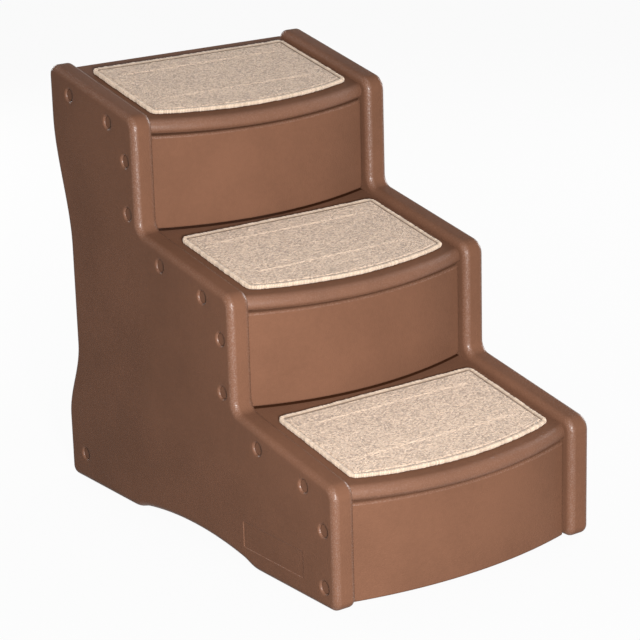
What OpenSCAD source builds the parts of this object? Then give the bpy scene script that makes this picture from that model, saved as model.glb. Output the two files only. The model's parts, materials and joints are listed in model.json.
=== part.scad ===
// Pet stairs with three carpeted treads between two hollow side panels.
// Millimetres, +Z up, the front faces -Y. The origin is on the floor, at the centre of the footprint.

/* [Overall] */
// Width across the two side panels
stair_w = 406; // [380:1:440]
// Depth of one step, from riser to riser
step_run = 209; // [200:1:225]
// Height from one tread to the next
step_rise = 190; // [180:1:205]
// Height of the lowest front corner of the side panels
front_rise = 159; // [150:0.5:172]
// Depth of the top step, from its front corner to the back of the panels
top_run = 211.5; // [205:0.5:225]
// Fall of the lower treads and rails towards the front, in degrees
tread_fall = 11.6; // [8:0.2:13]
// Fall of the top tread and its rails, in degrees
top_fall = 12.5; // [11:0.1:13.4]

/* [Side panels] */
// Thickness of a side panel
panel_t = 32; // [28:1:38]
// Wall of the hollow panel moulding
panel_wall = 3; // [2.4:0.2:4]
// Rounding of the panel's long edges
edge_r = 9; // [6:0.5:11]
// Radius of the three front corners, seen from the side
corner_r = 20; // [16:1:26]
// Radius of the two inner corners, seen from the side
notch_r = 15; // [12:1:20]
// Radius of the top back corner
back_corner_r = 14; // [12:1:20]
// Radius of the corners at the floor
foot_corner_r = 13; // [12:0.5:16]
// Depth of the scoop in the back edge
scoop_depth = 32; // [20:1:40]
// Length of the front foot
front_foot_l = 165; // [150:1:180]
// Length of the rear foot
rear_foot_l = 162; // [140:1:170]
// Height of the arch between the feet
arch_h = 17.5; // [12:0.5:22]

/* [Treads] */
// Height of the rails above the treads
tread_drop = 10.5; // [9:0.5:13]
// Skin of the tread moulding
tread_skin = 3.5; // [3:0.1:4.5]
// Forward bow of the nose over the tread's width
nose_bow = 27; // [20:1:32]
// Distance of the nose's ends behind the panel's front corner
nose_recess = 7.5; // [6:0.5:12]
// Upper rounding of the bullnose
nose_top_r = 12; // [10:0.5:14]
// Lower rounding of the bullnose
nose_low_r = 6.6; // [5:0.2:8]
// Depth of the tread's skirt below its top
skirt_h = 24; // [23:0.5:28]
// Depth of the ribs below the tread's top
rib_h = 17; // [12:1:20]

/* [Risers] */
// Wall of the riser moulding
riser_wall = 3.2; // [2.8:0.1:4]
// Forward bow of the riser over its width
riser_bow = 23.5; // [18:0.5:28]
// Distance of the riser's ends behind the panel's front corner
riser_recess = 14; // [12:0.5:16]
// Depth of the riser's top and bottom flanges
riser_flange = 18; // [14:1:22]
// Depth of the riser's end flanges
riser_end_flange = 26; // [24:1:30]
// Groove between nose and riser
groove_h = 2; // [1:0.2:3]

/* [Mats] */
// Gap between a mat and the side panels
mat_side_gap = 15; // [12:0.5:25]
// Bare strip of flat tread in front of a mat's corners
mat_front_gap = 6.5; // [5:0.5:10]
// Bare strip of tread between a mat and the riser behind it
mat_back_gap = 15; // [13:0.5:25]
// Bare strip of tread behind the top mat
top_mat_gap = 24.8; // [18:0.2:32]
// Forward bow of the mat's front edge
mat_bow = 23; // [15:1:26]
// Radius of the mat's corners
mat_corner_r = 8; // [7:0.5:14]
// Width of the overlocked edge
binding_w = 4; // [3:0.5:6]
// Height of the pile above the backing
pile_h = 3.7; // [3:0.1:5]
// Thickness of the backing
backing_h = 1; // [0.8:0.1:1.5]

/* [Hook and loop strips] */
// Distance of a strip's ends from the mat's sides
strip_end = 36; // [20:1:50]
// Distance of the front strip's middle from the mat's front corners
front_strip_inset = 41.5; // [30:0.5:50]
// Distance of the back strip's middle from the mat's back edge
back_strip_inset = 25.5; // [20:0.5:40]
// Width of a strip
strip_w = 18; // [14:1:22]
// Thickness of the hook strip, and of the loop strip
strip_t = 1.2; // [1:0.1:1.4]

/* [Fasteners] */
// Diameter of a pin's head
pin_head_d = 16; // [13:0.2:17]
// Thickness of a pin's head
pin_head_t = 2.4; // [2:0.2:3]
// Diameter of a pin's shank
pin_d = 8; // [7:0.2:9]
// Reach of a pin into its socket
pin_reach = 14; // [12:1:16]
// Depth of the recess that a pin's head lies in
recess_depth = 4.8; // [4.2:0.1:6]

/* [Brace and grips] */
// Height of the rear brace
brace_h = 36; // [30:1:40]
// Thickness of the rear brace
brace_t = 18; // [16:1:22]
// Wall of the rear brace
brace_wall = 2.8; // [2.4:0.1:3.4]
// Length of a floor grip
grip_l = 70; // [50:1:80]
// Flat of the foot left bare beside a floor grip
grip_edge = 1; // [0.6:0.2:2]
// Thickness of a floor grip
grip_t = 2.5; // [2:0.1:3]
// Part of a grip that stands out below the foot
grip_proud = 1; // [0.6:0.1:1.5]

/* [Hidden] */

// Steps counted from the floor
bottom = 0;
middle = bottom + 1;
top = middle + 1;

// Colours
moulding = [0.46, 0.30, 0.24];
moulding_dark = [0.40, 0.26, 0.21];
carpet = [0.74, 0.66, 0.56];
yarn = [0.85, 0.76, 0.66];
latex = [0.62, 0.55, 0.46];
nylon = [0.20, 0.19, 0.18];
rubber = [0.12, 0.12, 0.12];

// Clearances and overruns
end_gap = 0.6;
pin_gap = 0.2;
socket_gap = 0.1;
recess_play = 1.2;
lift_gap = 0.3;
mat_clear = 0.7;
strip_gap = 1.5;
riser_gap = 2.6;
riser_floor_gap = 1.5;
ledge_gap = 6;
socket_clear = 2.5;
over = 1;

// Heights and depths that follow from the driving sizes
fall = tan(tread_fall);
panel_back = top * step_run + top_run;
inner_x = stair_w / 2 - panel_t;
end_x = inner_x - end_gap;
nose_h = nose_top_r + nose_low_r;
nose_front = nose_recess - nose_bow;
nose_axis_y = nose_front + nose_top_r;
nose_axis_z = -tread_drop - nose_top_r;
front_y = cos(tread_fall) * nose_axis_y - sin(tread_fall) * nose_axis_z - nose_top_r;
centre_y = (panel_back + front_y) / 2;
back_top_z = front_rise + top * step_rise + tan(top_fall) * top_run;

// Radius of an arc that bows forward by b over a half width h
function bow_r(h, b) = (h * h + b * b) / (2 * b);
nose_r = bow_r(end_x, nose_bow);
riser_r = bow_r(end_x, riser_bow);
mat_w = 2 * (inner_x - mat_side_gap);
mat_r = bow_r(mat_w / 2, mat_bow);
grip_w = panel_t - 2 * edge_r - 2 * grip_edge;

// Depth, slope and length along the slope of the rails on step i
function run(i) = i < top ? step_run : top_run;
function tilt(i) = i < top ? tread_fall : top_fall;
function rail_l(i) = run(i) / cos(tilt(i));

// Panel outline
corner_n = 5;
scoop_n = 14;
arch_n = 20;
arch_ease = 36;
edge_n = 3;
scoop_start_drop = 74;
scoop_ease_top = 175;
scoop_end_h = 88.5;
scoop_ease_low = 110;

// Ledges that carry the treads' ends, and bosses round the pin holes
ledge_w = 12;
ledge_h = 8;
ledge_front = riser_recess + riser_end_flange + ledge_gap;
ledge_end = 27.4;
boss_wall = 3.5;

// Recess and pin
recess_d = pin_head_d + recess_play;
pin_edge_r = 1;
barb_h = 0.5;
barb_l = 3;
barb_back = 4;
socket_wall = 3.5;
socket_end = 3;
socket_l = pin_reach + socket_end;
tread_pin_front = 59;
tread_pin_end = 55.4;
top_tread_pin_end = 59;
top_tread_pin_lower = 1.8;
riser_pin_inset = 10;
riser_pin_upper = 58;
riser_pin_notch = 19.1;
riser_pin_foot = 27.4;
riser_pin_y = riser_recess + riser_pin_inset;
brace_inset = 41.5;
brace_y = panel_back - brace_inset;
brace_z = 39.5;

// Tread and riser
nose_lip = 6;
tread_tuck = 18;
top_tread_inset = 6.5;
rib_t = 3;
rib_count = 5;
cross_rib_count = 3;
riser_rib_count = 3;
pocket_depth = 2 * strip_t + lift_gap - mat_clear;
grip_inset = 18;

// Smooth step from 0 to 1
function smooth(t) = let (c = min(max(t, 0), 1)) c * c * (3 - 2 * c);

// Points of an arc of radius r that rounds the corner b between a and c
function round_corner(a, b, c, r, n) =
    let (
        u = (a - b) / norm(a - b),
        v = (c - b) / norm(c - b),
        half = acos(u * v) / 2,
        m = b + (u + v) / norm(u + v) * r / sin(half),
        p = b + u * r / tan(half) - m,
        q = b + v * r / tan(half) - m,
        start = atan2(p.y, p.x),
        turn = (atan2(q.y, q.x) - start + 540) % 360 - 180
    )
    [for (k = [0 : n]) m + r * [cos(start + turn * k / n), sin(start + turn * k / n)]];

// A place on step i, given along and square to its tread, as seen from the side
function on_tread(i, p) = [
    i * step_run + p.x * cos(tilt(i)) - p.y * sin(tilt(i)),
    front_rise + i * step_rise + p.x * sin(tilt(i)) + p.y * cos(tilt(i))
];

// The panel's outline from the side, from the front foot up the steps, down the back and along the floor
scoop_start_h = back_top_z - scoop_start_drop;
function scoop(h) = scoop_depth * smooth((scoop_start_h - h) / scoop_ease_top)
    * smooth((h - scoop_end_h) / scoop_ease_low);
arch_half = (panel_back - front_foot_l - rear_foot_l) / 2;
arch_y = front_foot_l + arch_half;
arch_r = bow_r(arch_half, arch_h);
function arch(y) = (sqrt(arch_r * arch_r - (y - arch_y) * (y - arch_y)) - arch_r + arch_h)
    * smooth((arch_half - abs(y - arch_y)) / arch_ease);
toe = [0, 0];
heel = [panel_back, 0];
corners = [
    toe,
    for (i = [bottom : top]) each [
        [i * step_run, front_rise + i * step_rise],
        [i < top ? (i + 1) * step_run : panel_back, front_rise + i * step_rise
            + tan(tilt(i)) * run(i)]
    ],
    heel
];
corner_radii = [foot_corner_r, corner_r, notch_r, corner_r, notch_r, corner_r, back_corner_r, foot_corner_r];
last = len(corners) - 1;
function rounded(k) = round_corner(corners[k > 0 ? k - 1 : last], corners[k], corners[k < last ? k + 1 : 0],
    corner_radii[k], corner_n);
outline = concat(
    [for (k = [0 : last - 1]) each rounded(k)],
    [for (k = [0 : scoop_n]) let (h = scoop_start_h + (scoop_end_h - scoop_start_h) * k / scoop_n)
        [panel_back - scoop(h), h]],
    rounded(last),
    [for (k = [0 : arch_n]) let (y = arch_y + arch_half * (1 - 2 * k / arch_n)) [y, arch(y)]]
);
outline_n = len(outline);
outward = [for (k = [0 : outline_n - 1])
    let (d = outline[(k + 1) % outline_n] - outline[(k + outline_n - 1) % outline_n])
    [-d.y, d.x] / norm(d)];

// The outline drawn in by an inset, at a place across the panel
function ring(inset, x) = [for (k = [0 : outline_n - 1])
    let (p = outline[k] - outward[k] * inset) [x, p.x, p.y]];

// Puts a piece that is drawn from the panel's front corner on the floor into its place
module placed() translate([0, -centre_y, grip_proud]) children();

// Frame of step i: its origin is the panel's front corner. It is upright, or its Y runs back along the tread
module upright_frame(i) translate([0, i * step_run, front_rise + i * step_rise]) children();
module step_frame(i) upright_frame(i) rotate([tilt(i), 0, 0]) children();

// Triangles that close the outline: they run across it from the front path, which climbs the steps, to the
// back path, which runs along the floor and up the back, and step along whichever is behind
front_end = last * (corner_n + 1) - 1;
function reach(k) = outline[k].x + outline[k].y;
function front_moves(s) = s.x < front_end
    && (s.y == front_end + 1 || reach(s.x + 1) < reach(s.y - 1));
cap = [for (s = [0, outline_n - 1]; s.y - s.x > 1; s = front_moves(s) ? [s.x + 1, s.y] : [s.x, s.y - 1])
    front_moves(s) ? [s.x, s.x + 1, s.y] : [s.x, s.y - 1, s.y]];

// A solid with the panel's outline and rounded long edges, drawn in on all sides by a wall
module panel_solid(wall, n) {
    r = edge_r - wall;
    outer = -stair_w / 2 + wall;
    inner = -inner_x - wall;
    rings = concat(
        [for (k = [0 : n]) let (a = 90 * k / n)
            ring(wall + r * (1 - sin(a)), outer + r * (1 - cos(a)))],
        [for (k = [n : -1 : 0]) let (a = 90 * k / n)
            ring(wall + r * (1 - sin(a)), inner - r * (1 - cos(a)))]
    );
    m = len(rings);
    w = outline_n;
    polyhedron(
        points = [for (g = rings) each g],
        faces = concat(
            [for (t = cap) [t.z, t.y, t.x]],
            [for (j = [0 : m - 2]) for (k = [0 : w - 1]) each [
                [j * w + k, (j + 1) * w + (k + 1) % w, (j + 1) * w + k],
                [j * w + k, j * w + (k + 1) % w, (j + 1) * w + (k + 1) % w]
            ]],
            [for (t = cap) t + (m - 1) * w * [1, 1, 1]]
        ),
        convexity = 8
    );
}

// Where the pins go through a panel, as seen from the side
function tread_pin_ys(i) = [tread_pin_front, rail_l(i) - (i < top ? tread_pin_end : top_tread_pin_end)];
function tread_pin_z(i) = pin_d / 2 + socket_wall + socket_clear - tread_drop - skirt_h
    - (i < top ? 0 : top_tread_pin_lower);
function riser_pin_drops(i) = [riser_pin_upper,
    i > bottom ? step_rise - fall * step_run - riser_pin_notch : front_rise - riser_pin_foot];
tread_pin_places = [for (i = [bottom : top]) for (y = tread_pin_ys(i)) on_tread(i, [y, tread_pin_z(i)])];
riser_pin_places = [for (i = [bottom : top]) for (d = riser_pin_drops(i))
    [i * step_run + riser_pin_y, front_rise + i * step_rise - d]];
brace_pin_places = [[brace_y, brace_z]];
pin_places = concat(tread_pin_places, riser_pin_places, brace_pin_places);

// Turns a piece drawn along +Z so that it points into the stairs from the left panel's outer face
module at_left_face(p, depth) translate([-stair_w / 2 + depth, p.x, p.y]) rotate([0, 90, 0]) children();

module side_panel() {
    placed() difference() {
        union() {
            difference() {
                panel_solid(0, edge_n);
                panel_solid(panel_wall, 1);
            }
            for (p = pin_places)
                at_left_face(p, panel_wall / 2)
                    cylinder(d = recess_d + 2 * boss_wall, h = panel_t - panel_wall, $fn = 48);
            for (i = [bottom : top])
                step_frame(i)
                    translate([-inner_x - panel_wall / 2, ledge_front, -tread_drop - skirt_h - ledge_h])
                    cube([ledge_w + panel_wall / 2, rail_l(i) - ledge_end - ledge_front, ledge_h]);
        }
        for (p = pin_places) {
            at_left_face(p, -over)
                cylinder(d = recess_d, h = recess_depth + over, $fn = 48);
            at_left_face(p, 0)
                cylinder(d = pin_d + 2 * pin_gap, h = panel_t + over, $fn = 48);
        }
        for (y = [grip_inset, panel_back - grip_inset - grip_l])
            translate([-stair_w / 2 + (panel_t - grip_w) / 2, y, -over])
                cube([grip_w, grip_l, grip_t - grip_proud + over]);
    }
}

// Outer section of the bullnose, measured from the bow's axis, with its lip running back by a length
module nose_section(wall, lip) {
    top_r = nose_top_r - wall;
    low_r = nose_low_r - wall;
    intersection() {
        translate([nose_r - nose_top_r, nose_axis_z])
            circle(r = top_r, $fn = 64);
        translate([nose_r - nose_top_r, nose_axis_z])
            square([top_r, top_r]);
    }
    intersection() {
        translate([nose_r - nose_low_r, nose_axis_z])
            circle(r = low_r, $fn = 64);
        translate([nose_r - nose_low_r, nose_axis_z - low_r])
            square([low_r, low_r]);
    }
    translate([nose_r - nose_top_r - lip, nose_axis_z])
        square([lip, top_r]);
    translate([nose_r - nose_top_r - lip, nose_axis_z - low_r])
        square([lip + nose_top_r - nose_low_r, low_r]);
}

module nose_sweep(wall, lip) translate([0, nose_front + nose_r, 0])
    rotate_extrude($fn = 360) nose_section(wall, lip);

// A box that spans the stairs between the panels, or the two slabs at its ends
module between(y0, y1, z0, z1, inset = 0)
    translate([-end_x + inset, y0, z0]) cube([2 * (end_x - inset), y1 - y0, z1 - z0]);
module end_slabs(t, y0, y1, z0, z1)
    for (x = [-end_x, end_x - t])
        translate([x, y0, z0]) cube([t, y1 - y0, z1 - z0]);

// Where the tread on step i ends, measured along it: under the riser behind it, or at the panels' back
function tread_back_y(i) = ((i < top ? step_run + riser_recess + tread_tuck : top_run - top_tread_inset)
    - tread_drop * sin(tilt(i))) / cos(tilt(i));

// A socket for a pin, drawn along +Z from its mouth
module socket() cylinder(d = pin_d + 2 * socket_wall, h = socket_l, $fn = 48);
module socket_bore() {
    neck = pin_reach - barb_back - barb_l - over;
    translate([0, 0, -over])
        cylinder(d = pin_d + 2 * socket_gap, h = neck + over, $fn = 48);
    translate([0, 0, neck])
        cylinder(d = pin_d + 2 * barb_h + 2 * pin_gap, h = pin_reach + over - neck, $fn = 48);
}
module at_both_ends(y, z) for (s = [0, 1])
    mirror([s, 0, 0]) translate([-end_x, y, z]) rotate([0, 90, 0]) children();

// An upright frame whose origin is the back edge of the tread on step i
module tread_back(i) translate([0, tread_back_y(i), -tread_drop]) rotate([-tilt(i), 0, 0]) children();

module tread(i) {
    back = tread_back_y(i);
    deck = -tread_drop;
    rib_front = nose_recess + nose_top_r;
    color(moulding) placed() step_frame(i) difference() {
        union() {
            translate([0, 0, deck - tread_skin])
                linear_extrude(tread_skin)
                intersection() {
                    translate([-end_x, nose_front]) square([2 * end_x, back + over - nose_front]);
                    translate([0, nose_front + nose_r]) circle(r = nose_r - nose_top_r, $fn = 360);
                }
            intersection() {
                difference() {
                    nose_sweep(0, nose_lip);
                    nose_sweep(tread_skin, nose_lip + over);
                }
                between(nose_front - over, back - over, deck - skirt_h, deck);
            }
            intersection() {
                nose_sweep(0, ledge_front);
                end_slabs(tread_skin, nose_front, ledge_front, deck - skirt_h, deck);
            }
            end_slabs(tread_skin, ledge_front, back + over, deck - skirt_h, deck);
            tread_back(i) between(-tread_skin, over, -skirt_h, -tread_skin / 2);
            for (k = [1 : rib_count])
                translate([-end_x + 2 * end_x * k / (rib_count + 1) - rib_t / 2, rib_front, deck - rib_h])
                    cube([rib_t, back - over - rib_front, rib_h - tread_skin / 2]);
            for (k = [1 : cross_rib_count])
                between(rib_front + (back - rib_front) * k / (cross_rib_count + 1) - rib_t / 2,
                    rib_front + (back - rib_front) * k / (cross_rib_count + 1) + rib_t / 2,
                    deck - rib_h, deck - tread_skin / 2, tread_skin / 2);
            for (y = tread_pin_ys(i))
                at_both_ends(y, tread_pin_z(i)) socket();
        }
        tread_back(i) between(0, 2 * skirt_h, -2 * skirt_h, skirt_h, -over);
        for (y = tread_pin_ys(i))
            at_both_ends(y, tread_pin_z(i)) socket_bore();
        for (y = strip_ys(i))
            translate([-strip_l / 2 - strip_gap, y - strip_w / 2 - strip_gap, deck - pocket_depth])
                cube([strip_l + 2 * strip_gap, strip_w + 2 * strip_gap, pocket_depth + over]);
    }
}

// The room a riser has: under the groove, above the tread below or the floor, drawn in by a trim
module riser_room(i, trim) {
    upper = -tread_drop - nose_h - groove_h - trim;
    step_below = step_run * sin(tread_fall) - step_rise * cos(tread_fall);
    lower = i > bottom ? step_below - tread_drop + riser_gap + trim : -front_rise - step_rise;
    intersection() {
        rotate([tilt(i), 0, 0])
            between(-step_run, step_run, -2 * step_rise, upper);
        rotate([tread_fall, 0, 0])
            between(-step_run, step_run, lower, step_rise);
        between(-step_run, step_run, i > bottom ? -2 * step_rise : riser_floor_gap - front_rise + trim,
            step_rise);
    }
}

// A bowed band under the nose, from one depth behind the riser's face to another
module riser_band(i, d0, d1, trim, inset) intersection() {
    translate([0, riser_recess - riser_bow + riser_r, -2 * step_rise])
        linear_extrude(2 * step_rise)
        difference() {
            circle(r = riser_r - d0, $fn = 360);
            circle(r = riser_r - d1, $fn = 360);
        }
    riser_room(i, trim);
    between(-step_run, step_run, -2 * step_rise, step_rise, inset);
}

module riser(i) color(moulding_dark) placed() upright_frame(i) difference() {
    union() {
        difference() {
            riser_band(i, 0, riser_flange, 0, 0);
            riser_band(i, riser_wall, riser_flange + over, riser_wall, riser_wall);
        }
        intersection() {
            riser_room(i, 0);
            end_slabs(riser_wall, riser_recess + riser_wall / 2, riser_recess + riser_end_flange,
                -2 * step_rise, 0);
        }
        for (k = [1 : riser_rib_count])
            intersection() {
                riser_band(i, riser_wall / 2, riser_flange, 0, 0);
                translate([-end_x + 2 * end_x * k / (riser_rib_count + 1) - rib_t / 2,
                    -step_run, -2 * step_rise])
                    cube([rib_t, 2 * step_run, 2 * step_rise]);
            }
        for (d = riser_pin_drops(i))
            at_both_ends(riser_pin_y, -d) socket();
    }
    for (d = riser_pin_drops(i))
        at_both_ends(riser_pin_y, -d) socket_bore();
}

// Outline of the mat on step i in the frame of its step, drawn in by an inset
mat_n = 12;
mat_corner_n = 5;
mat_front = nose_recess + nose_top_r + mat_front_gap;
function mat_back(i) = i < top
    ? (step_run + riser_recess - riser_bow - tread_drop * sin(tread_fall)) / cos(tread_fall) - mat_back_gap
    : tread_back_y(top) - top_mat_gap;
function mat_front_y(x, inset) = mat_front - mat_bow + mat_r
    - sqrt((mat_r - inset) * (mat_r - inset) - x * x);
function mat_outline(i, inset) =
    let (
        h = mat_w / 2 - inset,
        r = mat_corner_r - inset,
        back = mat_back(i) - inset,
        c = h - 2 * r,
        fl = [-h, mat_front_y(h, inset)],
        fr = [h, mat_front_y(h, inset)],
        start = [-c, mat_front_y(c, inset)],
        end = [c, mat_front_y(c, inset)]
    )
    concat(
        round_corner([-h, back], fl, start, r, mat_corner_n),
        [for (k = [0 : mat_n]) let (x = -c + 2 * c * k / mat_n) [x, mat_front_y(x, inset)]],
        round_corner(end, fr, [h, back], r, mat_corner_n),
        round_corner(fr, [h, back], [-h, back], r, mat_corner_n),
        round_corner([h, back], [-h, back], fl, r, mat_corner_n)
    );

// Heights in a mat, square to the tread
hook_z = -tread_drop - pocket_depth;
loop_z = hook_z + strip_t + lift_gap;
backing_z = loop_z + strip_t;
pile_z = backing_z + backing_h;

module mat_pile(i) color(carpet) placed() step_frame(i)
    translate([0, 0, pile_z]) linear_extrude(pile_h) polygon(mat_outline(i, binding_w));

module mat_backing(i) color(latex) placed() step_frame(i)
    translate([0, 0, backing_z]) linear_extrude(backing_h) polygon(mat_outline(i, binding_w));

module mat_binding(i) color(yarn) placed() step_frame(i)
    translate([0, 0, backing_z]) linear_extrude(backing_h + pile_h)
    difference() {
        polygon(mat_outline(i, 0));
        polygon(mat_outline(i, binding_w));
    }

strip_l = mat_w - 2 * strip_end;
function strip_ys(i) = [mat_front + front_strip_inset, mat_back(i) - back_strip_inset];
module strips(i, z) placed() step_frame(i) for (y = strip_ys(i))
    translate([-strip_l / 2, y - strip_w / 2, z]) cube([strip_l, strip_w, strip_t]);
module mat_loop_strips(i) color(latex) strips(i, loop_z);
module hook_strips(i) color(nylon) strips(i, hook_z);

// Rear brace: a hollow bar with closed ends and a socket in each
brace_corner_r = 4;
module brace_section(wall) {
    r = brace_corner_r - wall;
    for (y = [-1, 1]) for (z = [-1, 1])
        translate([z * (brace_h / 2 - brace_corner_r), y * (brace_t / 2 - brace_corner_r)])
            circle(r = r, $fn = 32);
    square([brace_h - 2 * wall, brace_t - 2 * brace_corner_r], center = true);
    square([brace_h - 2 * brace_corner_r, brace_t - 2 * wall], center = true);
}
module rear_brace() color(moulding_dark) placed() difference() {
    union() {
        difference() {
            translate([-end_x, brace_y, brace_z]) rotate([0, 90, 0])
                linear_extrude(2 * end_x) brace_section(0);
            translate([-end_x + brace_wall, brace_y, brace_z]) rotate([0, 90, 0])
                linear_extrude(2 * (end_x - brace_wall)) brace_section(brace_wall);
        }
        at_both_ends(brace_y, brace_z) socket();
    }
    at_both_ends(brace_y, brace_z) socket_bore();
}

// A push pin, drawn along +Z from the outer face of its head
pin_l = pin_head_t + panel_t - recess_depth + pin_reach;
pin_tip_r = pin_d / 2 - barb_h;
module pin() rotate_extrude($fn = 48) polygon([
    [0, 0],
    [pin_head_d / 2 - pin_edge_r, 0],
    [pin_head_d / 2, pin_edge_r],
    [pin_head_d / 2, pin_head_t],
    [pin_d / 2, pin_head_t],
    [pin_d / 2, pin_l - barb_back - barb_l],
    [pin_d / 2 + barb_h, pin_l - barb_back - barb_l + barb_h],
    [pin_d / 2, pin_l - barb_back],
    [pin_tip_r, pin_l],
    [0, pin_l]
]);
module pins(places) color(moulding_dark) placed() for (p = places)
    at_left_face(p, recess_depth - pin_head_t) pin();

module floor_grips() color(rubber) placed()
    for (y = [grip_inset, panel_back - grip_inset - grip_l])
        translate([-stair_w / 2 + (panel_t - grip_w) / 2, y, -grip_proud])
            cube([grip_w, grip_l, grip_t]);

module on_right() mirror([1, 0, 0]) children();

color(moulding) side_panel();  // side_panel_left
color(moulding) on_right() side_panel();  // side_panel_right
tread(top);  // tread_top
tread(middle);  // tread_middle
tread(bottom);  // tread_bottom
riser(top);  // riser_top
riser(middle);  // riser_middle
riser(bottom);  // riser_bottom
mat_pile(top);  // mat_pile_top
mat_pile(middle);  // mat_pile_middle
mat_pile(bottom);  // mat_pile_bottom
mat_binding(top);  // mat_binding_top
mat_binding(middle);  // mat_binding_middle
mat_binding(bottom);  // mat_binding_bottom
mat_backing(top);  // mat_backing_top
mat_backing(middle);  // mat_backing_middle
mat_backing(bottom);  // mat_backing_bottom
mat_loop_strips(top);  // mat_loop_strips_top
mat_loop_strips(middle);  // mat_loop_strips_middle
mat_loop_strips(bottom);  // mat_loop_strips_bottom
hook_strips(top);  // hook_strips_top
hook_strips(middle);  // hook_strips_middle
hook_strips(bottom);  // hook_strips_bottom
rear_brace();
pins(tread_pin_places);  // tread_pins_left
on_right() pins(tread_pin_places);  // tread_pins_right
pins(riser_pin_places);  // riser_pins_left
on_right() pins(riser_pin_places);  // riser_pins_right
union() {  // brace_pins
    pins(brace_pin_places);
    on_right() pins(brace_pin_places);
}
floor_grips();  // floor_grips_left
on_right() floor_grips();  // floor_grips_right
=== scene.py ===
"""Looks of the pet stairs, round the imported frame. Sizes are in millimetres until a point is placed."""

import json
import math
from functools import partial

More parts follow.
